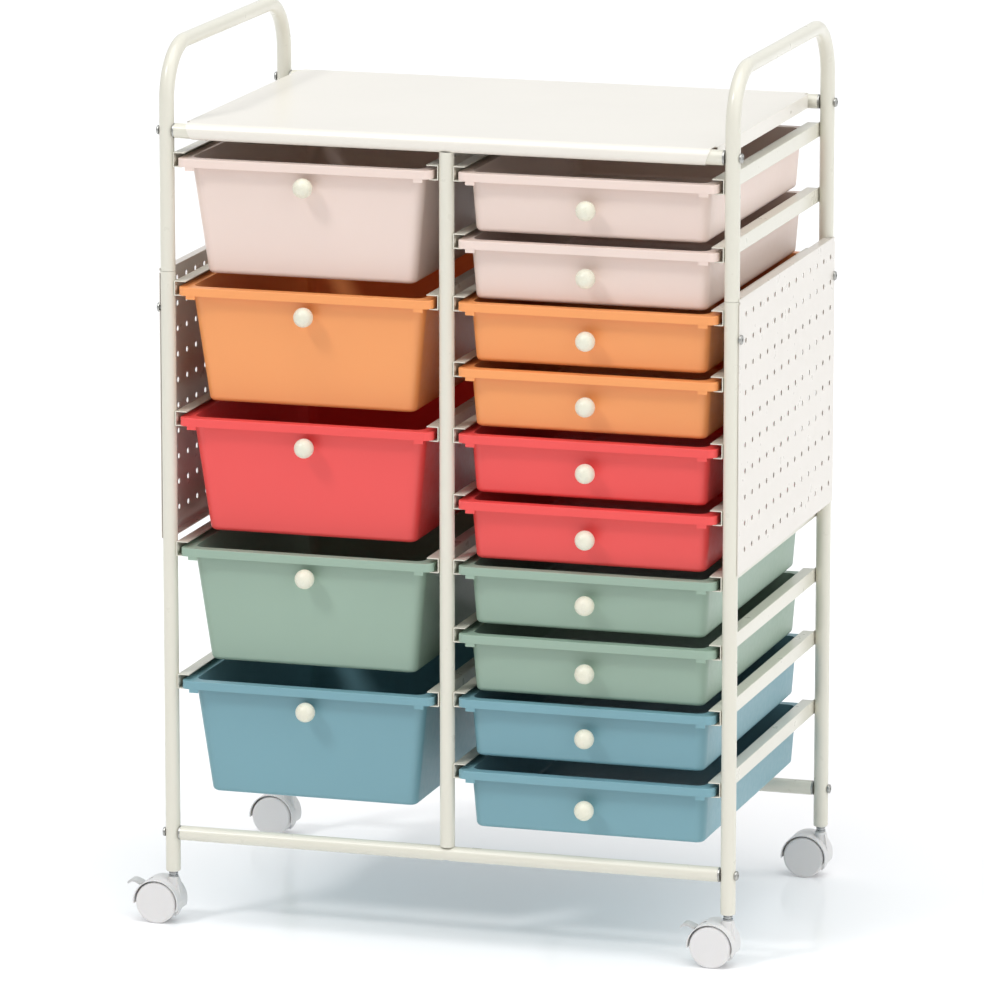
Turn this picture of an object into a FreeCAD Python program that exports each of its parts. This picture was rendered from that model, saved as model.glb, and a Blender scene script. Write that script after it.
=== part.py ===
import FreeCAD, Part
import math
import os

os.makedirs("parts", exist_ok=True)
V = FreeCAD.Vector

# ---------------------------------------------------------------- driving dimensions (mm)
# The cart is drawn about the middle of its four posts: X across (right +), Y front to back
# (front is -Y), Z up from the floor.  SHIFT moves it so that the middle of the base of the
# whole object's box is the origin.
SHIFT_X, SHIFT_Y = 19.425, 3.25

TUBE_R, TUBE_T = 8.0, 1.2            # 16 mm steel tube
TUBE_RI = TUBE_R - TUBE_T
POST_X, POST_Y = 308.5, 194.0        # post axes
Z_TOP, Z_MID, Z_BOT = 860.9, 671.2, 98.8   # top bars, panel bolts, bottom bars
POST_Z0 = 58.6                       # lower end of the steel posts
SEAM_Z = 711.1                       # hoop sits on the post here
SWAGE_RO, SWAGE_RI, SWAGE_Z0 = 6.72, 5.55, 639.0
HOOP_Z, HOOP_R = 948.6, 58.0         # axis of the hoop's top run, bend radius

BAR_END = 298.6                      # half length of the cross bars
INSERT_R, INSERT_L = 6.72, 18.0
PLUG_COLLAR_R, PLUG_COLLAR_L = 7.7, 1.8
BOLT_R, BOLT_HEAD_R, BOLT_HEAD_H, BOLT_L = 2.5, 5.0, 2.7, 32.0
PANEL_BOLT_L = 12.0

RAIL_H, RAIL_T = 16.0, 1.0
RAIL_TOP_W, RAIL_BOT_W = 13.0, 10.0
RAIL_Y0, RAIL_Y1, RAIL_TAB_Y1 = -198.5, 190.0, 200.0
RAIL_OUT = POST_X - TUBE_R - 0.05    # outer face of an outer rail's web
RAIL_IN = TUBE_R + 0.05              # outer face of an inner rail's web, from the centre post
# top faces of the rails
RAIL_Z_LEFT = [838.6, 701.2, 560.9, 419.7, 274.8]
RAIL_Z_RIGHT = [838.6, 767.4, 701.2, 631.6, 560.9, 489.9, 419.7, 346.4, 276.3, 198.7]
RIVET_R, RIVET_HEAD_R, RIVET_HEAD_H = 2.0, 3.6, 1.1

COL_X = POST_X / 2.0                 # middle of each column
RIM_BELOW_RAIL = 5.7                 # rim top below the rail's top face
RIM_HX, RIM_Y0, RIM_Y1, RIM_R = 140.5, -205.0, 196.5, 9.0
RIM_T, SKIRT_T, SKIRT_H = 2.4, 2.0, 8.8
BODY_HX, BODY_Y0, BODY_Y1, BODY_R = 130.0, -195.5, 187.0, 13.0
TUB_WALL, TUB_FLOOR = 2.2, 2.4
LARGE_H, LARGE_DX, LARGE_DY = 124.9, 14.8, 14.5
SMALL_H, SMALL_DX, SMALL_DY = 63.7, 4.4, 6.6
LUG_X0, LUG_X1, LUG_DROP = 121.0, 131.0, 12.6

KNOB_R = 10.5
KNOB_DROP_LARGE, KNOB_DROP_SMALL = 24.6, 33.1
KNOB_NECK_R, KNOB_Y = 4.6, -206.5

TRAY_T = 1.0
TRAY_HX = 289.5
TRAY_ROLL_HX = 285.5
TRAY_SIDE_Z = 854.8
TRAY_SIDE_HY = 183.0

PANEL_T = 1.0
PANEL_X0 = POST_X + TUBE_R + 0.05
PANEL_HY, PANEL_Z0, PANEL_Z1 = 197.0, 421.5, 713.6
PANEL_FLANGE, PANEL_FLANGE_HY = 10.0, 185.0
PEG_R, PEG_PITCH, PEG_Y0, PEG_Z_TOP = 3.0, 29.15, -170.9, 694.3
PEG_PITCH_Z = 27.7
PEG_COLS, PEG_ROWS = 13, 10

WHEEL_R, WHEEL_IN, WHEEL_OUT = 22.6, 6.2, 16.1
CASTER_TRAIL = 15.6                  # the axle is this far to the left of the stem
HOOD_RI, HOOD_RO, HOOD_HW = 24.3, 25.4, 16.5
HOOD_WEB = 5.2
HOOD_A0, HOOD_A1 = -18.0, 184.0      # hood's angular span seen from the front
STEM_R, STEM_Z0, STEM_Z1 = 4.0, 35.0, 89.0
BOSS_R, BOSS_TOP = 6.4, 50.1
AXLE_R = 3.0


# ---------------------------------------------------------------- helpers
def cyl(r, x, y, z, h, d=(0, 0, 1)):
    return Part.makeCylinder(r, h, V(x, y, z), V(*d))


def tube(ro, ri, x, y, z, h, d=(0, 0, 1)):
    return cyl(ro, x, y, z, h, d).cut(cyl(ri, x, y, z, h, d))


def box(x0, x1, y0, y1, z0, z1):
    return Part.makeBox(x1 - x0, y1 - y0, z1 - z0, V(x0, y0, z0))


def rrect(x0, x1, y0, y1, r, z):
    """Rounded rectangle wire at height z."""
    k = r * (1 - math.sqrt(0.5))
    p = [V(x0 + r, y0, z), V(x1 - r, y0, z), V(x1, y0 + r, z), V(x1, y1 - r, z),
         V(x1 - r, y1, z), V(x0 + r, y1, z), V(x0, y1 - r, z), V(x0, y0 + r, z)]
    m = [V(x1 - k, y0 + k, z), V(x1 - k, y1 - k, z), V(x0 + k, y1 - k, z), V(x0 + k, y0 + k, z)]
    e = [Part.LineSegment(p[0], p[1]).toShape(), Part.Arc(p[1], m[0], p[2]).toShape(),
         Part.LineSegment(p[2], p[3]).toShape(), Part.Arc(p[3], m[1], p[4]).toShape(),
         Part.LineSegment(p[4], p[5]).toShape(), Part.Arc(p[5], m[2], p[6]).toShape(),
         Part.LineSegment(p[6], p[7]).toShape(), Part.Arc(p[7], m[3], p[0]).toShape()]
    return Part.Wire(e)


def rprism(x0, x1, y0, y1, r, z0, z1):
    return Part.Face(rrect(x0, x1, y0, y1, r, z0)).extrude(V(0, 0, z1 - z0))


def loft(w0, w1):
    return Part.makeLoft([w0, w1], True, True)


def poly_prism(pts, vec):
    w = Part.makePolygon([V(*p) for p in pts] + [V(*pts[0])])
    return Part.Face(w).extrude(V(*vec))


def mirror_x(s):
    return s.mirror(V(0, 0, 0), V(1, 0, 0))


def put(node, shapes):
    if not isinstance(shapes, (list, tuple)):
        shapes = [shapes]
    solids = []
    for s in shapes:
        solids += s.Solids
    out = []
    for s in solids:
        c = s.copy()
        c.translate(V(SHIFT_X, SHIFT_Y, 0))
        out.append(c)
    shape = out[0] if len(out) == 1 else Part.makeCompound(out)
    shape.exportStep("parts/%s.step" % node)
    b = shape.optimalBoundingBox(False, False)
    BOXES.append((b.XMin, b.XMax, b.YMin, b.YMax, b.ZMin, b.ZMax))
    bad = [i for i, s in enumerate(out) if not s.isValid()]
    print("%-24s solids %2d  x %.1f..%.1f  y %.1f..%.1f  z %.1f..%.1f  vol %.0f %s" % (
        node, len(out), b.XMin, b.XMax, b.YMin, b.YMax, b.ZMin, b.ZMax,
        sum(s.Volume for s in out), ("INVALID %s" % bad) if bad else ""))


BOXES = []

# ---------------------------------------------------------------- holes shared by posts and hoops
rail_heights = {-1: RAIL_Z_LEFT, 1: RAIL_Z_RIGHT}


def rivet_holes(side, y):
    """Holes in the inner wall of one post (side = -1 left, +1 right)."""
    out = []
    for z in rail_heights[side]:
        x = side * (POST_X - TUBE_R - 1)
        out.append(cyl(RIVET_R + 0.1, x, y, z - RAIL_H / 2, 6.0, (side, 0, 0)))
    return out


def bolt_holes(side, y):
    out = []
    for z in (Z_TOP, Z_MID, Z_BOT):
        x = side * (POST_X + TUBE_R + 2)
        n = 2 * TUBE_R + 4 if z != Z_MID else TUBE_R + 2
        out.append(cyl(BOLT_R + 0.15, x, y, z, n, (-side, 0, 0)))
    return out


# ---------------------------------------------------------------- hoops with their swaged ends
def hoop_solid(r, x, z0):
    """Inverted U of round section, legs down to z0."""
    zb = HOOP_Z - HOOP_R
    parts = []
    for s in (-1, 1):
        parts.append(cyl(r, x, s * POST_Y, z0, zb - z0))
        face = Part.Face(Part.Wire(Part.makeCircle(r, V(x, s * POST_Y, zb), V(0, 0, 1))))
        c = V(x, s * (POST_Y - HOOP_R), zb)
        parts.append(face.revolve(c, V(1, 0, 0), s * 90))
    parts.append(cyl(r, x, -(POST_Y - HOOP_R), HOOP_Z, 2 * (POST_Y - HOOP_R), (0, 1, 0)))
    return parts[0].multiFuse(parts[1:])


def hoop(side):
    x = side * POST_X
    outer = hoop_solid(TUBE_R, x, SEAM_Z + 0.2)
    inner = hoop_solid(TUBE_RI, x, SEAM_Z - 1)
    s = outer.cut(inner)
    for y in (-POST_Y, POST_Y):
        neck = tube(SWAGE_RO, SWAGE_RI, x, y, SWAGE_Z0, SEAM_Z + 5 - SWAGE_Z0)
        ring = tube(TUBE_RI + 0.4, SWAGE_RI, x, y, SEAM_Z + 0.2, 4.8)
        s = s.multiFuse([neck, ring])
    cuts = []
    for y in (-POST_Y, POST_Y):
        cuts += rivet_holes(side, y) + bolt_holes(side, y)
    return s.cut(Part.makeCompound(cuts)).removeSplitter()


put("left_hoop", hoop(-1))
put("right_hoop", hoop(1))


def post(side, y):
    s = tube(TUBE_R, TUBE_RI, side * POST_X, y, POST_Z0, SEAM_Z - 0.2 - POST_Z0)
    return s.cut(Part.makeCompound(rivet_holes(side, y) + bolt_holes(side, y)))


put("front_posts", [post(-1, -POST_Y), post(1, -POST_Y)])
put("rear_posts", [post(-1, POST_Y), post(1, POST_Y)])


def centre_post(y):
    z0, z1 = Z_BOT + TUBE_R + 0.05, Z_TOP - TUBE_R - 0.05
    s = tube(TUBE_R, TUBE_RI, 0, y, z0, z1 - z0)
    cuts = []
    for side in (-1, 1):
        for z in rail_heights[side]:
            cuts.append(cyl(RIVET_R + 0.1, side * (TUBE_R + 1), y, z - RAIL_H / 2, 5.0, (-side, 0, 0)))
    return s.cut(Part.makeCompound(cuts))


put("centre_posts", [centre_post(-POST_Y), centre_post(POST_Y)])


# ---------------------------------------------------------------- cross bars
def bar(y, z, up):
    """up = +1 when the centre post stands on the bar, -1 when it hangs below it."""
    s = tube(TUBE_R, TUBE_RI, -BAR_END, y, z, 2 * BAR_END, (1, 0, 0))
    s = s.cut(cyl(BOLT_R + 0.15, 0, y, z, TUBE_R + 1, (0, 0, up)))
    s = s.cut(cyl(BOLT_HEAD_R + 0.6, 0, y, z, TUBE_R + 1, (0, 0, -up)))
    return s


put("front_top_bar", bar(-POST_Y, Z_TOP, -1))
put("rear_top_bar", bar(POST_Y, Z_TOP, -1))
put("front_bottom_bar", bar(-POST_Y, Z_BOT, 1))
put("rear_bottom_bar", bar(POST_Y, Z_BOT, 1))

# threaded plugs in the ends of the bars and of the centre posts
inserts = []
for y in (-POST_Y, POST_Y):
    for z in (Z_TOP, Z_BOT):
        for side in (-1, 1):
            plug = cyl(INSERT_R, side * (BAR_END + 0.5), y, z, INSERT_L + 0.5, (-side, 0, 0))
            collar = cyl(PLUG_COLLAR_R, side * (BAR_END + 0.05), y, z, PLUG_COLLAR_L, (side, 0, 0))
            plug = plug.fuse(collar).cut(cyl(BOLT_R + 0.1, side * (BAR_END + 4), y, z, INSERT_L + 8, (-side, 0, 0)))
            inserts.append(plug.removeSplitter())
    inserts.append(tube(INSERT_R, BOLT_R + 0.1, 0, y, Z_BOT + TUBE_R + 0.3, INSERT_L))
    inserts.append(tube(INSERT_R, BOLT_R + 0.1, 0, y, Z_TOP - TUBE_R - 0.3, INSERT_L, (0, 0, -1)))
put("bar_inserts", inserts)


def bolt(length, p, d):
    """Pan-head screw: p is the underside of the head, d points along the shank."""
    d = V(*d)
    p = V(*p)
    head = Part.makeCylinder(BOLT_HEAD_R, BOLT_HEAD_H, p, d * -1)
    top = [e for e in head.Edges if len(e.Vertexes) == 1 and (e.CenterOfMass - p).Length > BOLT_HEAD_H - 0.1]
    head = head.makeFillet(1.3, top)
    sock = Part.makePolygon([V(2.0 * math.cos(math.radians(60 * i)), 2.0 * math.sin(math.radians(60 * i)), 0) for i in range(7)])
    sock = Part.Face(sock).extrude(V(0, 0, 1.6))
    sock.Placement = FreeCAD.Placement(p - d * BOLT_HEAD_H, FreeCAD.Rotation(V(0, 0, 1), d))
    shank = Part.makeCylinder(BOLT_R, length, p, d)
    return head.fuse(shank).cut(sock).removeSplitter()


bolts = []
for y in (-POST_Y, POST_Y):
    for z in (Z_TOP, Z_BOT):
        for side in (-1, 1):
            bolts.append(bolt(BOLT_L, (side * (POST_X + TUBE_R), y, z), (-side, 0, 0)))
    bolts.append(bolt(BOLT_L - 8, (0, y, Z_BOT + 4.5), (0, 0, 1)))
    bolts.append(bolt(BOLT_L - 8, (0, y, Z_TOP - 4.5), (0, 0, -1)))
put("frame_bolts", bolts)

bolts = []
for y in (-POST_Y, POST_Y):
    for side in (-1, 1):
        bolts.append(bolt(PANEL_BOLT_L, (side * (PANEL_X0 + PANEL_T), y, Z_MID), (-side, 0, 0)))
put("panel_bolts", bolts)


# ---------------------------------------------------------------- top tray
def tray():
    zt = Z_TOP + TUBE_R + TRAY_T                 # top face
    zb = zt - TRAY_T + 0.08                      # underside where it lies on the bars
    # flat sheet between the two rolled lips
    s = box(-TRAY_HX, TRAY_HX, -POST_Y + 12, POST_Y - 12, zt - TRAY_T, zt)
    for sy in (-1, 1):
        yc = sy * POST_Y
        s = s.fuse(box(-TRAY_ROLL_HX, TRAY_ROLL_HX, min(yc, yc - sy * 14), max(yc, yc - sy * 14), zb, zt))
        # lip rolled round the bar: from the top over the outside to 70 degrees below
        ring = tube(TUBE_R + TRAY_T, TUBE_R + 0.08, -TRAY_ROLL_HX, yc, Z_TOP, 2 * TRAY_ROLL_HX, (1, 0, 0))
        inside = box(-400, 400, min(yc, yc - sy * 20), max(yc, yc - sy * 20), Z_TOP - 20, Z_TOP + 20)
        a = math.radians(20)
        wedge = poly_prism([(-400, yc, Z_TOP), (-400, yc + sy * 30 * math.sin(a), Z_TOP - 30 * math.cos(a)),
                            (-400, yc - sy * 2, Z_TOP - 30)], (800, 0, 0))
        ring = ring.cut(inside).cut(wedge)
        # trimmed ends of the lip
        for sx in (-1, 1):
            cut = poly_prism([(sx * (TRAY_ROLL_HX + 1), yc, Z_TOP + 9.5), (sx * (TRAY_ROLL_HX + 1), yc, Z_TOP - 12),
                              (sx * (TRAY_ROLL_HX - 7), yc, Z_TOP - 12)], (0, sy * 20, 0))
            ring = ring.cut(cut)
        s = s.fuse(ring)
    # folded sides, square at their ends
    for sx in (-1, 1):
        x0, x1 = sorted((sx * TRAY_HX, sx * (TRAY_HX - TRAY_T)))
        side = poly_prism([(x0, -TRAY_SIDE_HY, zt), (x0, TRAY_SIDE_HY, zt), (x0, TRAY_SIDE_HY, TRAY_SIDE_Z + 2),
                           (x0, TRAY_SIDE_HY - 2, TRAY_SIDE_Z), (x0, -TRAY_SIDE_HY + 2, TRAY_SIDE_Z),
                           (x0, -TRAY_SIDE_HY, TRAY_SIDE_Z + 2)], (x1 - x0, 0, 0))
        for y in (-112.0, 112.0):
            side = side.cut(cyl(1.8, x0 - 1, y, 861.3, 4, (1, 0, 0)))
        s = s.fuse(side)
    s = s.removeSplitter()
    edges = [e for e in s.Edges if e.BoundBox.YLength > 300 and abs(abs(e.BoundBox.XMin) - TRAY_HX) < 1e-6
             and abs(e.BoundBox.XLength) < 1e-6 and abs(e.BoundBox.ZMax - zt) < 1e-6]
    s = s.makeFillet(0.9, edges)
    for sx in (-1, 1):
        for sy in (-1, 1):
            # relief hole where the two folds meet
            s = s.cut(cyl(1.6, sx * (TRAY_HX - 1.2), sy * (TRAY_SIDE_HY + 1.2), zt - 3, 5))
    return s.removeSplitter()


put("top_tray", tray())


# ---------------------------------------------------------------- perforated side panels
def panel():
    x0, x1 = PANEL_X0, PANEL_X0 + PANEL_T
    s = box(x0, x1, -PANEL_HY, PANEL_HY, PANEL_Z0, PANEL_Z1)
    s = s.fuse(box(x1 - PANEL_FLANGE, x1, -PANEL_FLANGE_HY, PANEL_FLANGE_HY, PANEL_Z1 - PANEL_T, PANEL_Z1))
    s = s.fuse(box(x1 - PANEL_FLANGE, x1, -PANEL_FLANGE_HY, PANEL_FLANGE_HY, PANEL_Z0, PANEL_Z0 + PANEL_T))
    s = s.removeSplitter()
    edges = []
    for e in s.Edges:
        b = e.BoundBox
        if b.YLength > 300 and abs(b.XMin - x1) < 1e-6 and abs(b.XMax - x1) < 1e-6:
            edges.append(e)
    s = s.makeFillet(0.9, edges)
    cuts = []
    for i in range(PEG_COLS):
        for j in range(PEG_ROWS):
            cuts.append(cyl(PEG_R, x0 - 1, PEG_Y0 + i * PEG_PITCH, PEG_Z_TOP - j * PEG_PITCH_Z, 4, (1, 0, 0)))
    for sy in (-1, 1):
        # open slot that slips under the head of the panel bolt, and a small corner notch
        cuts.append(cyl(BOLT_R + 0.2, x0 - 1, sy * POST_Y, Z_MID, 4, (1, 0, 0)))
        y0, y1 = sorted((sy * POST_Y, sy * (PANEL_HY + 2)))
        cuts.append(box(x0 - 1, x1 + 1, y0, y1, Z_MID - BOLT_R - 0.2, Z_MID + BOLT_R + 0.2))
        cuts.append(cyl(1.6, x0 - 1, sy * (PANEL_HY - 0.8), SEAM_Z - 1.5, 4, (1, 0, 0)))
    return s.cut(Part.makeCompound(cuts))


right_panel = panel()
put("right_panel", right_panel)
put("left_panel", mirror_x(right_panel))


# ---------------------------------------------------------------- drawer rails
def rail_shape(web_x, inward):
    """C rail with its top face at z = 0. web_x is the web's outer face, inward the way the flanges point."""
    def bx(a, b):
        return sorted((web_x + inward * a, web_x + inward * b))
    x0, x1 = bx(0, RAIL_T)
    web = box(x0, x1, RAIL_Y0, RAIL_TAB_Y1, -RAIL_H, 0)
    t0, t1 = bx(0, RAIL_TOP_W)
    top = box(t0, t1, RAIL_Y0, RAIL_Y1, -RAIL_T, 0)
    b0, b1 = bx(0, RAIL_BOT_W)
    bot = box(b0, b1, RAIL_Y0, RAIL_Y1, -RAIL_H, -RAIL_H + RAIL_T)
    s = web.multiFuse([top, bot]).removeSplitter()
    edges = []
    for e in s.Edges:
        b = e.BoundBox
        if b.YLength > 380 and abs(b.XMin - web_x) < 1e-6 and abs(b.XMax - web_x) < 1e-6:
            edges.append(e)
    s = s.makeFillet(0.9, edges)
    # the tab behind the flanges has cropped corners
    for z, dz in ((0, -1), (-RAIL_H, 1)):
        s = s.cut(poly_prism([(x0 - 1, RAIL_TAB_Y1 + 1, z), (x0 - 1, RAIL_TAB_Y1 - 3, z), (x0 - 1, RAIL_TAB_Y1 + 1, z + dz * 4)], (RAIL_T + 2, 0, 0)))
    for y in (-POST_Y, POST_Y):
        s = s.cut(cyl(RIVET_R + 0.1, x0 - 1, y, -RAIL_H / 2, RAIL_T + 2, (1, 0, 0)))
    return s


def rails(side):
    out = []
    for web_x, inward in ((side * RAIL_OUT, -side), (side * RAIL_IN, side)):
        base = rail_shape(web_x, inward)
        for z in rail_heights[side]:
            c = base.copy()
            c.translate(V(0, 0, z))
            out.append(c)
    return out


put("left_column_rails", rails(-1))
put("right_column_rails", rails(1))


def rivet(x, y, z, d):
    """x is the web's inner face; d (+-1) is the way the rivet's body points."""
    r, h = RIVET_HEAD_R, RIVET_HEAD_H
    big = (r * r + h * h) / (2 * h)
    dome = Part.makeSphere(big, V(x + d * (big - h), y, z))
    keep = Part.makeCylinder(r + 0.1, h + 0.2, V(x - d * (h + 0.2), y, z), V(d, 0, 0))
    head = dome.common(keep)
    body = Part.makeCylinder(RIVET_R, 4.6, V(x, y, z), V(d, 0, 0))
    return head.fuse(body).removeSplitter()


rivets = []
for side in (-1, 1):
    for z in rail_heights[side]:
        for y in (-POST_Y, POST_Y):
            rivets.append(rivet(side * (RAIL_OUT - RAIL_T), y, z - RAIL_H / 2, side))
            rivets.append(rivet(side * (RAIL_IN + RAIL_T), y, z - RAIL_H / 2, -side))
put("rail_rivets", rivets)


# ---------------------------------------------------------------- drawers
def tub(cx, zr, h, dx, dy):
    """Tapered tub with a turned-down rim. zr is the rim's top face."""
    z0 = zr - h
    hb = BODY_HX - dx
    outer = loft(rrect(cx - hb, cx + hb, BODY_Y0 + dy, BODY_Y1 - dy, BODY_R - 3, z0),
                 rrect(cx - BODY_HX, cx + BODY_HX, BODY_Y0, BODY_Y1, BODY_R, zr))
    edges = [e for e in outer.Edges if abs(e.BoundBox.ZMax - z0) < 1e-3]
    outer = outer.makeFillet(5.0, edges)
    w = TUB_WALL
    k = (h - TUB_FLOOR) / h
    hi = BODY_HX - dx * k
    inner = loft(rrect(cx - hi + w, cx + hi - w, BODY_Y0 + dy * k + w, BODY_Y1 - dy * k - w, BODY_R - 4.5, z0 + TUB_FLOOR),
                 rrect(cx - BODY_HX + w, cx + BODY_HX - w, BODY_Y0 + w, BODY_Y1 - w, BODY_R - w, zr))
    edges = [e for e in inner.Edges if abs(e.BoundBox.ZMax - z0 - TUB_FLOOR) < 1e-3]
    inner = inner.makeFillet(3.2, edges)
    rim = rprism(cx - RIM_HX, cx + RIM_HX, RIM_Y0, RIM_Y1, RIM_R, zr - RIM_T, zr)
    edges = [e for e in rim.Edges if e.BoundBox.ZMin > zr - 1e-3]
    rim = rim.makeFillet(0.8, edges)
    t = SKIRT_T
    skirt = rprism(cx - RIM_HX, cx + RIM_HX, RIM_Y0, RIM_Y1, RIM_R, zr - SKIRT_H, zr - RIM_T)
    skirt = skirt.cut(rprism(cx - RIM_HX + t, cx + RIM_HX - t, RIM_Y0 + t, RIM_Y1 - t, RIM_R - t, zr - SKIRT_H - 1, zr - RIM_T + 1))
    s = outer.multiFuse([rim, skirt])
    for sx in (-1, 1):
        a, b = sorted((cx + sx * LUG_X0, cx + sx * LUG_X1))
        s = s.fuse(box(a, b, RIM_Y0 + 0.3, RIM_Y0 + t, zr - LUG_DROP, zr - RIM_T))
    top = rprism(cx - BODY_HX + w, cx + BODY_HX - w, BODY_Y0 + w, BODY_Y1 - w, BODY_R - w, zr - 0.01, zr + 5)
    s = s.cut(inner).cut(top)
    return s.removeSplitter()


def face_y(zdrop, h, dy):
    """Front face of the body, zdrop below the rim."""
    return BODY_Y0 + dy * zdrop / h


def knob(cx, z, yf):
    """Ball knob with a short neck, and its screw from inside the tub."""
    yc = KNOB_Y
    ball = Part.makeSphere(KNOB_R, V(cx, yc, z))
    neck = Part.makeCylinder(KNOB_NECK_R, yf - 0.6 - yc, V(cx, yc, z), V(0, 1, 0))
    bore = Part.makeCylinder(1.6, 18, V(cx, yf + 1, z), V(0, -1, 0))
    body = ball.fuse(neck).cut(bore).removeSplitter()
    # screw: head inside the tub, shank through the wall into the knob
    hy = yf + TUB_WALL + 0.48
    screw = Part.makeCylinder(1.55, hy - yf + 14, V(cx, hy, z), V(0, -1, 0))
    head = Part.makeCylinder(3.6, 1.8, V(cx, hy, z), V(0, 1, 0))
    e = [k for k in head.Edges if len(k.Vertexes) == 1 and k.CenterOfMass.y > hy + 1.7]
    head = head.makeFillet(0.9, e)
    slot = box(cx - 2.6, cx + 2.6, hy + 1.0, hy + 2.5, z - 0.45, z + 0.45)
    slot2 = box(cx - 0.45, cx + 0.45, hy + 1.0, hy + 2.5, z - 2.6, z + 2.6)
    screw = screw.fuse(head).cut(slot).cut(slot2).removeSplitter()
    return [body, screw]


DRAWERS = []
for i, z in enumerate(RAIL_Z_LEFT):
    DRAWERS.append(("left_%d" % (i + 1), -COL_X, z - RIM_BELOW_RAIL, LARGE_H, LARGE_DX, LARGE_DY, KNOB_DROP_LARGE))
for i, z in enumerate(RAIL_Z_RIGHT):
    DRAWERS.append(("right_%d" % (i + 1), COL_X, z - RIM_BELOW_RAIL, SMALL_H, SMALL_DX, SMALL_DY, KNOB_DROP_SMALL))

base = {}
for name, cx, zr, h, dx, dy, kd in DRAWERS:
    key = (cx, h)
    yf = face_y(kd, h, dy)
    if key not in base:
        t = tub(cx, 0.0, h, dx, dy)
        hole = Part.makeCylinder(1.7, 8, V(cx, yf - 2, -kd), V(0, 1, 0))
        base[key] = (t.cut(hole), knob(cx, -kd, yf))
    t, k = base[key]
    t = t.copy()
    t.translate(V(0, 0, zr))
    put("tub_" + name, t)
    ks = []
    for s in k:
        c = s.copy()
        c.translate(V(0, 0, zr))
        ks.append(c)
    put("knob_" + name, ks)


# ---------------------------------------------------------------- casters
def socket(x, y):
    s = cyl(INSERT_R, x, y, POST_Z0 - 1, 90.0 - POST_Z0 + 1)
    flange = cyl(TUBE_R, x, y, 56.2, POST_Z0 - 0.05 - 56.2)
    e = [k for k in flange.Edges if len(k.Vertexes) == 1 and k.BoundBox.ZMax < 56.3]
    flange = flange.makeFillet(2.0, e)
    return s.fuse(flange).cut(cyl(STEM_R + 0.05, x, y, 50, 60)).removeSplitter()


def stem(x, y):
    s = cyl(STEM_R, x, y, STEM_Z0, STEM_Z1 - STEM_Z0)
    s = s.fuse(tube(5.4, 0.5, x, y, 50.5, 1.3))
    s = s.fuse(tube(4.9, 0.5, x, y, 53.4, 1.1))
    s = s.removeSplitter()
    return s.makeChamfer(1.0, [k for k in s.Edges if len(k.Vertexes) == 1 and k.BoundBox.ZMin > STEM_Z1 - 0.01])


corners = [("front_left", -1, -1), ("front_right", 1, -1), ("rear_left", -1, 1), ("rear_right", 1, 1)]
put("caster_sockets", [socket(sx * POST_X, sy * POST_Y) for _, sx, sy in corners])
put("caster_stems", [stem(sx * POST_X, sy * POST_Y) for _, sx, sy in corners])

AX = -CASTER_TRAIL                   # axle, from the stem's axis
AZ = WHEEL_R
LEVER_PX, LEVER_PZ = AX - 12.5, AZ + 11.0    # lever pivot
SLOT = 3.7                           # half width of the lever's slot


def sector(r, a0, a1, y0, y1):
    """Solid wedge about the axle, angles from +X up towards +Z."""
    pts = [(AX, y0, AZ)]
    n = 24
    for i in range(n + 1):
        a = math.radians(a0 + (a1 - a0) * i / n)
        pts.append((AX + r * math.cos(a), y0, AZ + r * math.sin(a)))
    return poly_prism(pts, (0, y1 - y0, 0))


def hood(with_slot):
    shell = tube(HOOD_RO, HOOD_RI, AX, -HOOD_HW, AZ, 2 * HOOD_HW, (0, 1, 0))
    keep = sector(60, HOOD_A0, HOOD_A1, -HOOD_HW - 1, HOOD_HW + 1)
    shell = shell.common(keep)
    web = cyl(HOOD_RI + 0.3, AX, -HOOD_WEB, AZ, 2 * HOOD_WEB, (0, 1, 0))
    web = web.common(sector(60, HOOD_A0 - 22, HOOD_A1 + 22, -HOOD_WEB - 1, HOOD_WEB + 1).fuse(cyl(8.0, AX, -HOOD_WEB - 1, AZ, 2 * HOOD_WEB + 2, (0, 1, 0))))
    s = shell.fuse(web)
    # boss for the stem, standing out of the hood's crown
    boss = cyl(BOSS_R, 0, 0, AZ + 14, BOSS_TOP - AZ - 14)
    e = [k for k in boss.Edges if len(k.Vertexes) == 1 and k.BoundBox.ZMin > BOSS_TOP - 0.1]
    boss = boss.makeFillet(1.2, e)
    trim = cyl(HOOD_RI, AX, -HOOD_HW, AZ, HOOD_HW - HOOD_WEB, (0, 1, 0)).fuse(
        cyl(HOOD_RI, AX, HOOD_WEB, AZ, HOOD_HW - HOOD_WEB, (0, 1, 0)))
    s = s.fuse(boss.cut(trim))
    # buttress that leads the boss into the shell on the outer side
    fin = poly_prism([(2.0, -4.4, BOSS_TOP - 2.5), (6.1, -4.4, BOSS_TOP - 2.5), (9.4, -4.4, AZ + 6), (2.0, -4.4, AZ + 14)], (0, 8.8, 0))
    s = s.fuse(fin.cut(trim))
    s = s.cut(cyl(STEM_R + 0.08, 0, 0, STEM_Z0 - 0.8, 40))
    s = s.cut(cyl(AXLE_R + 0.06, AX, -30, AZ, 60, (0, 1, 0)))
    if with_slot:
        s = s.cut(poly_prism([(LEVER_PX + 7.2, -SLOT, LEVER_PZ - 6.5), (LEVER_PX + 7.2, -SLOT, LEVER_PZ + 5.5),
                              (AX - 9, -SLOT, AZ + 30), (AX - 34, -SLOT, AZ + 30), (AX - 34, -SLOT, AZ + 3.0),
                              (LEVER_PX - 5.5, -SLOT, LEVER_PZ - 7.5)], (0, 2 * SLOT, 0)))
        # the lever's pivot pin is carried by the two cheeks of the web
        pin = cyl(1.5, LEVER_PX, -HOOD_WEB + 0.2, LEVER_PZ, 2 * HOOD_WEB - 0.4, (0, 1, 0))
        s = s.fuse(pin)
    return s.removeSplitter()


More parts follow.
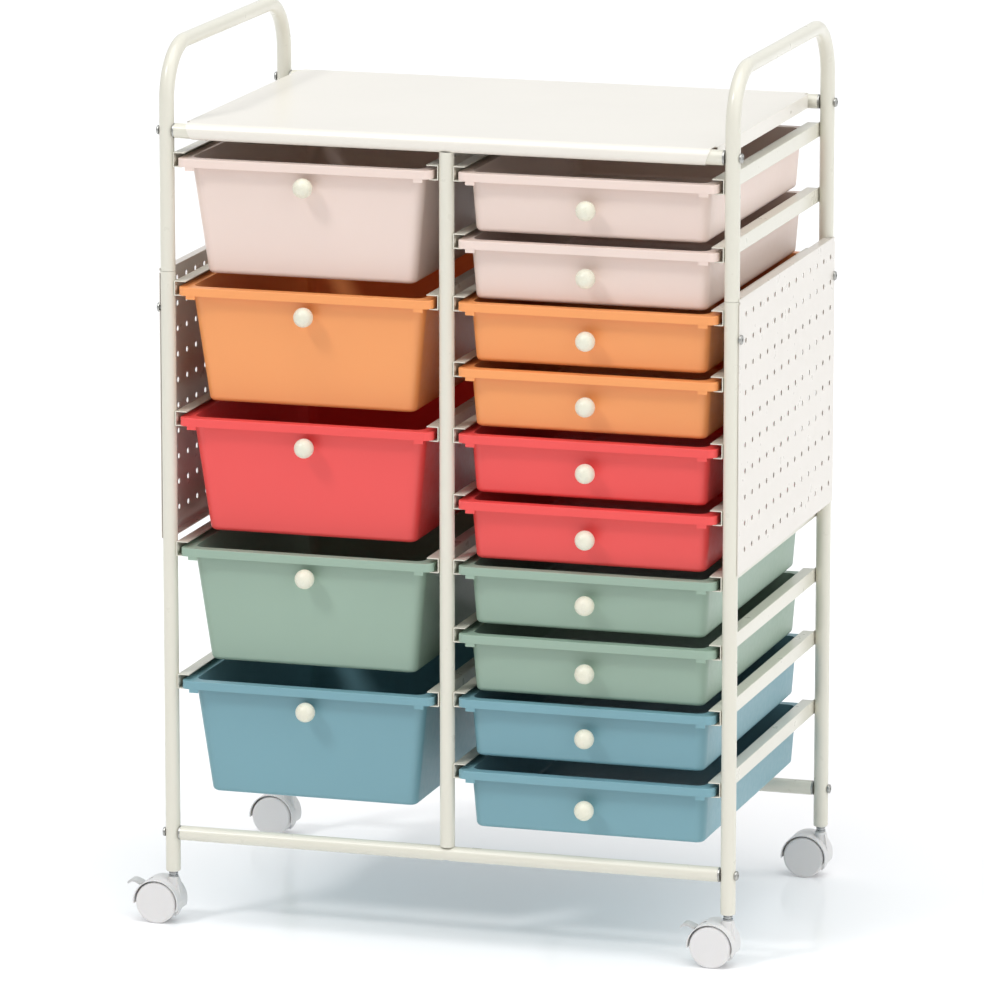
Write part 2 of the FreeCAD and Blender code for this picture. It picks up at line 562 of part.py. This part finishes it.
def wheels():
    out = []
    for sy in (-1, 1):
        y0 = sy * WHEEL_IN
        w = Part.makeCylinder(WHEEL_R, WHEEL_OUT - WHEEL_IN, V(AX, y0, AZ), V(0, sy, 0))
        e = [k for k in w.Edges if len(k.Vertexes) == 1 and abs(k.CenterOfMass.y) > WHEEL_OUT - 0.1]
        w = w.makeFillet(2.8, e)
        e = [k for k in w.Edges if len(k.Vertexes) == 1 and abs(k.CenterOfMass.y) < WHEEL_IN + 0.1]
        w = w.makeFillet(1.5, e)
        # hub face recess on the inner side
        w = w.cut(cyl(18.0, AX, y0 - sy * 0.01, AZ, 4.5, (0, sy, 0)).cut(cyl(7.5, AX, y0 - sy, AZ, 8, (0, sy, 0))))
        w = w.cut(cyl(AXLE_R + 0.01, AX, y0 - sy, AZ, 8.4, (0, sy, 0)))
        out.append(w)
    axle = cyl(AXLE_R, AX, -WHEEL_IN - 7.0, AZ, 2 * (WHEEL_IN + 7.0), (0, 1, 0))
    return out + [axle]


def lever():
    """Foot brake: a root in the hood's slot and a curved pedal outside."""
    px, pz = LEVER_PX, LEVER_PZ
    root = [(px + 3.6, pz - 2.6), (px + 3.9, pz + 1.6), (px + 1.0, pz + 4.6), (px - 3.5, pz + 7.0),
            (px - 8.0, pz + 8.0), (px - 11.5, pz + 9.2), (px - 12.0, pz + 7.8), (px - 8.2, pz + 5.2),
            (px - 4.6, pz + 1.0), (px - 2.4, pz - 3.2), (px + 0.8, pz - 4.2)]
    root = poly_prism([(x, -3.2, z) for x, z in root], (0, 6.4, 0))
    pedal = [(-18.6, 18.2), (-21.4, 19.7), (-25.2, 21.2), (-28.8, 21.9), (-31.6, 21.6), (-33.9, 19.8), (-35.0, 17.4),
             (-33.4, 16.9), (-32.1, 18.6), (-30.3, 19.5), (-28.4, 19.6), (-25.2, 18.8), (-22.6, 17.4), (-21.0, 16.4)]
    pedal = poly_prism([(AX + x, -7.0, AZ + z) for x, z in pedal], (0, 14.0, 0))
    s = root.fuse(pedal).cut(cyl(1.56, px, -9, pz, 18, (0, 1, 0)))
    return s.removeSplitter()


hood_slot, hood_plain, wheel_set, lever_shape = hood(True), hood(False), wheels(), lever()
for name, sx, sy in corners:
    off = V(sx * POST_X, sy * POST_Y, 0)
    h = (hood_slot if sy < 0 else hood_plain).copy()
    h.translate(off)
    put("hood_" + name, h)
    ws = []
    for w in wheel_set:
        c = w.copy()
        c.translate(off)
        ws.append(c)
    put("wheels_" + name, ws)
    if sy < 0:
        lv = lever_shape.copy()
        lv.translate(off)
        put("brake_lever_" + name, lv)

print("overall x %.3f..%.3f  y %.3f..%.3f  z %.3f..%.3f" % (
    min(b[0] for b in BOXES), max(b[1] for b in BOXES), min(b[2] for b in BOXES), max(b[3] for b in BOXES),
    min(b[4] for b in BOXES), max(b[5] for b in BOXES)), "nodes", len(BOXES))
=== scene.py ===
import bpy
import math
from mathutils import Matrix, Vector

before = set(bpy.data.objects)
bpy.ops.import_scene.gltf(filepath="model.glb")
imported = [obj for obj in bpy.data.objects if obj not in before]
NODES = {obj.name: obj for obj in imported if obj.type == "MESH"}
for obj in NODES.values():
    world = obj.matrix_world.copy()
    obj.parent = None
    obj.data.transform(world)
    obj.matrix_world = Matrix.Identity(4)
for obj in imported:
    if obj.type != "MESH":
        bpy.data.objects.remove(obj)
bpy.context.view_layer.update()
SX, SY = 0.019425, 0.00325           # where the middle of the posts lies in the row frame


# ------------------------------------------------------------------ material helpers
def lin(r, g, b):
    out = []
    for v in (r, g, b):
        v /= 255.0
        out.append(v / 12.92 if v <= 0.04045 else ((v + 0.055) / 1.055) ** 2.4)
    return tuple(out) + (1.0,)


def new_material(name):
    m = bpy.data.materials.new(name)
    m.use_nodes = True
    nt = m.node_tree
    nt.nodes.clear()
    out = nt.nodes.new("ShaderNodeOutputMaterial")
    bsdf = nt.nodes.new("ShaderNodeBsdfPrincipled")
    nt.links.new(bsdf.outputs["BSDF"], out.inputs["Surface"])
    return m, nt, bsdf


def noise(nt, coord, scale, detail=2.0, rough=0.5):
    n = nt.nodes.new("ShaderNodeTexNoise")
    n.inputs["Scale"].default_value = scale
    n.inputs["Detail"].default_value = detail
    n.inputs["Roughness"].default_value = rough
    nt.links.new(coord, n.inputs["Vector"])
    return n.outputs["Fac"]


def mapped(nt, value, lo, hi, a=0.3, b=0.7):
    n = nt.nodes.new("ShaderNodeMapRange")
    n.inputs["From Min"].default_value = a
    n.inputs["From Max"].default_value = b
    n.inputs["To Min"].default_value = lo
    n.inputs["To Max"].default_value = hi
    nt.links.new(value, n.inputs["Value"])
    return n.outputs["Result"]


def mixed(nt, fac, c1, c2):
    n = nt.nodes.new("ShaderNodeMix")
    n.data_type = "RGBA"
    nt.links.new(fac, n.inputs["Factor"])
    n.inputs["A"].default_value = c1
    n.inputs["B"].default_value = c2
    return n.outputs["Result"]


def shade(c, k):
    return (c[0] * k, c[1] * k, c[2] * k, 1.0)


def bumped(nt, bsdf, heights, distance):
    """heights: list of (socket, strength) stacked one on another."""
    last = None
    for socket, strength in heights:
        b = nt.nodes.new("ShaderNodeBump")
        b.inputs["Strength"].default_value = strength
        b.inputs["Distance"].default_value = distance
        nt.links.new(socket, b.inputs["Height"])
        if last is not None:
            nt.links.new(last, b.inputs["Normal"])
        last = b.outputs["Normal"]
    nt.links.new(last, bsdf.inputs["Normal"])


def coords(nt):
    return nt.nodes.new("ShaderNodeTexCoord").outputs["Object"]


def paint(name, colour, rough=0.3, coat=0.35, peel=0.06, vary=1.0):
    """Powder coat: even colour, slight orange peel, a soft gloss."""
    m, nt, bsdf = new_material(name)
    co = coords(nt)
    tone = mapped(nt, noise(nt, co, 7.0, 3.0), 0.0, 1.0)
    nt.links.new(mixed(nt, tone, shade(colour, 0.985), shade(colour, 1.012)), bsdf.inputs["Base Color"])
    grain = noise(nt, co, 60.0, 4.0)
    nt.links.new(mapped(nt, grain, rough - 0.03 * vary, rough + 0.04 * vary), bsdf.inputs["Roughness"])
    bsdf.inputs["Coat Weight"].default_value = coat
    bsdf.inputs["Coat Roughness"].default_value = 0.2
    bsdf.inputs["IOR"].default_value = 1.48
    if peel:
        bumped(nt, bsdf, [(noise(nt, co, 190.0, 1.0), peel)], 0.0004)
    return m


def moulded(name, colour, rough=0.38, sss=0.06, grainy=0.12):
    """Injection-moulded polypropylene: satin, a little light in the wall, fine moulded grain."""
    m, nt, bsdf = new_material(name)
    co = coords(nt)
    flow = mapped(nt, noise(nt, co, 5.0, 2.0), 0.0, 1.0)
    nt.links.new(mixed(nt, flow, shade(colour, 0.97), shade(colour, 1.02)), bsdf.inputs["Base Color"])
    grain = noise(nt, co, 140.0, 3.0)
    nt.links.new(mapped(nt, grain, rough - 0.04, rough + 0.05), bsdf.inputs["Roughness"])
    bsdf.inputs["Subsurface Weight"].default_value = sss
    bsdf.inputs["Subsurface Radius"].default_value = (0.004, 0.003, 0.002)
    bsdf.inputs["Subsurface Scale"].default_value = 1.0
    bsdf.inputs["IOR"].default_value = 1.49
    bumped(nt, bsdf, [(noise(nt, co, 900.0, 3.0), grainy), (noise(nt, co, 45.0, 2.0), grainy * 0.5)], 0.0003)
    return m


def metal(name, colour, rough, scratch=0.1):
    m, nt, bsdf = new_material(name)
    co = coords(nt)
    bsdf.inputs["Metallic"].default_value = 1.0
    tone = mapped(nt, noise(nt, co, 260.0, 3.0), 0.0, 1.0)
    nt.links.new(mixed(nt, tone, shade(colour, 0.9), shade(colour, 1.05)), bsdf.inputs["Base Color"])
    nt.links.new(mapped(nt, noise(nt, co, 700.0, 3.0), rough - 0.06, rough + 0.1), bsdf.inputs["Roughness"])
    bumped(nt, bsdf, [(noise(nt, co, 2500.0, 2.0), scratch)], 0.0002)
    return m


CREAM = lin(222, 219, 205)
M = {
    "paint": paint("cream_powder_coat", CREAM),
    # tray: the frame's cream paint made lighter, painted light for the brightly lit top of the tray
    "tray": paint("cream_tray_coat_painted_light", lin(233, 228, 218), rough=0.30, coat=0.35, peel=0.03, vary=0.4),
    "panel": paint("cream_panel_coat", lin(224, 218, 209), peel=0.0),
    "knob": moulded("knob_plastic", lin(228, 226, 208), rough=0.28, sss=0.1, grainy=0.04),
    "socket": moulded("socket_plastic", lin(227, 224, 211), rough=0.35),
    "zinc": metal("zinc_plate", (0.44, 0.44, 0.42, 1), 0.38),
    "chrome": metal("stem_chrome", (0.40, 0.41, 0.41, 1), 0.22, 0.03),
    "hood": moulded("caster_hood_plastic", lin(221, 220, 219), rough=0.32, sss=0.08, grainy=0.05),
    # brake lever: a darker grey than the hood, painted shade for the shadow lying on the lever's top
    "lever": moulded("brake_lever_plastic_painted_shade", lin(196, 197, 196), rough=0.35, sss=0.05, grainy=0.05),
    "wheel": moulded("caster_wheel_plastic", lin(225, 223, 222), rough=0.4, sss=0.08, grainy=0.08),
    "pink": moulded("drawer_pink", lin(234, 214, 204)),
    "orange": moulded("drawer_orange", lin(242, 159, 95)),
    "red": moulded("drawer_red", lin(238, 81, 79)),
    "green": moulded("drawer_green", lin(151, 175, 158)),
    "blue": moulded("drawer_blue", lin(119, 163, 174)),
}
ORDER = ["pink", "orange", "red", "green", "blue"]


def dress(node, mat):
    o = NODES[node]
    for i in range(max(1, len(o.material_slots))):
        if len(o.material_slots) == 0:
            o.data.materials.append(mat)
        o.material_slots[i].link = "OBJECT"
        o.material_slots[i].material = mat


for n in NODES:
    if n.startswith("tub_left_"):
        dress(n, M[ORDER[int(n.rsplit("_", 1)[1]) - 1]])
    elif n.startswith("tub_right_"):
        dress(n, M[ORDER[(int(n.rsplit("_", 1)[1]) - 1) // 2]])
    elif n.startswith("knob_"):
        dress(n, M["knob"])
    elif n.startswith("hood_"):
        dress(n, M["hood"])
    elif n.startswith("brake_"):
        dress(n, M["lever"])
    elif n.startswith("wheels_"):
        dress(n, M["wheel"])
    elif n == "caster_stems":
        dress(n, M["chrome"])
    elif n == "caster_sockets":
        dress(n, M["socket"])
    elif n in ("bar_inserts", "frame_bolts", "panel_bolts"):
        dress(n, M["zinc"])
    elif n == "top_tray":
        dress(n, M["tray"])
    elif n.endswith("_panel"):
        dress(n, M["panel"])
    else:
        dress(n, M["paint"])


# ------------------------------------------------------------------ floor
def floor():
    me = bpy.data.meshes.new("floor")
    s = 40.0
    me.from_pydata([(-s, -s, 0), (s, -s, 0), (s, s, 0), (-s, s, 0)], [], [(0, 1, 2, 3)])
    o = bpy.data.objects.new("floor", me)
    bpy.context.scene.collection.objects.link(o)
    m, nt, bsdf = new_material("floor_white")
    co = coords(nt)
    bsdf.inputs["Base Color"].default_value = (0.93, 0.93, 0.935, 1)
    nt.links.new(mapped(nt, noise(nt, co, 3.0, 2.0), 0.16, 0.20), bsdf.inputs["Roughness"])
    bsdf.inputs["Specular IOR Level"].default_value = 0.35
    bsdf.inputs["Emission Color"].default_value = (0.97, 0.98, 1.0, 1)
    bsdf.inputs["Emission Strength"].default_value = 0.11
    me.materials.append(m)
    return o


floor()


# ------------------------------------------------------------------ lights
def sun(name, azimuth, elevation, share, angle, colour=(1, 1, 1)):
    """share is the part of full white that it gives a surface facing it; azimuth 0 is the front, + to the right."""
    d = bpy.data.lights.new(name, "SUN")
    d.energy = share * math.pi
    d.angle = math.radians(angle)
    d.color = colour
    o = bpy.data.objects.new(name, d)
    a, e = math.radians(azimuth), math.radians(elevation)
    back = Vector((math.sin(a) * math.cos(e), -math.cos(a) * math.cos(e), math.sin(e)))
    o.location = back * 6.0
    o.rotation_mode = "QUATERNION"
    o.rotation_quaternion = (-back).to_track_quat("-Z", "Y")
    bpy.context.scene.collection.objects.link(o)
    return o


sun("key", -37, 47, 0.29, 11)
sun("right_fill", 72, 32, 0.36, 70)
sun("overhead", 10, 84, 0.48, 50)

world = bpy.data.worlds.new("world")
bpy.context.scene.world = world
world.use_nodes = True
bg = world.node_tree.nodes.get("Background") or world.node_tree.nodes.new("ShaderNodeBackground")
bg.inputs["Color"].default_value = (0.96, 0.98, 1.0, 1)
# a white studio wall behind the cart, which the tray and the floor reflect; dimmer everywhere else
wt = world.node_tree
sky = wt.nodes.new("ShaderNodeTexCoord").outputs["Generated"]
parts = wt.nodes.new("ShaderNodeSeparateXYZ")
wt.links.new(sky, parts.inputs[0])
wt.links.new(mapped(wt, parts.outputs["Y"], 0.39, 0.74, 0.35, 0.85), bg.inputs["Strength"])
wo = world.node_tree.nodes.get("World Output") or world.node_tree.nodes.new("ShaderNodeOutputWorld")
world.node_tree.links.new(bg.outputs[0], wo.inputs[0])


# ------------------------------------------------------------------ camera
def camera():
    d = bpy.data.cameras.new("camera")
    d.sensor_fit = "HORIZONTAL"
    d.sensor_width = 36.0
    d.sensor_height = 36.0
    d.lens = 7432.5 / 984.0 * 36.0
    d.clip_start, d.clip_end = 0.1, 200.0
    o = bpy.data.objects.new("camera", d)
    a, e = math.radians(17.006), math.radians(11.953)
    back = Vector((math.sin(a) * math.cos(e), -math.cos(a) * math.cos(e), math.sin(e)))
    aim = Vector((-0.01003 + SX, SY, 0.45095))
    loc = aim + back * 8.0
    o.location = loc
    o.rotation_mode = "QUATERNION"
    o.rotation_quaternion = (aim - loc).to_track_quat("-Z", "Y")
    bpy.context.scene.collection.objects.link(o)
    bpy.context.scene.camera = o
    return o


camera()
bpy.context.scene.view_settings.view_transform = "Standard"

bpy.context.view_layer.update()
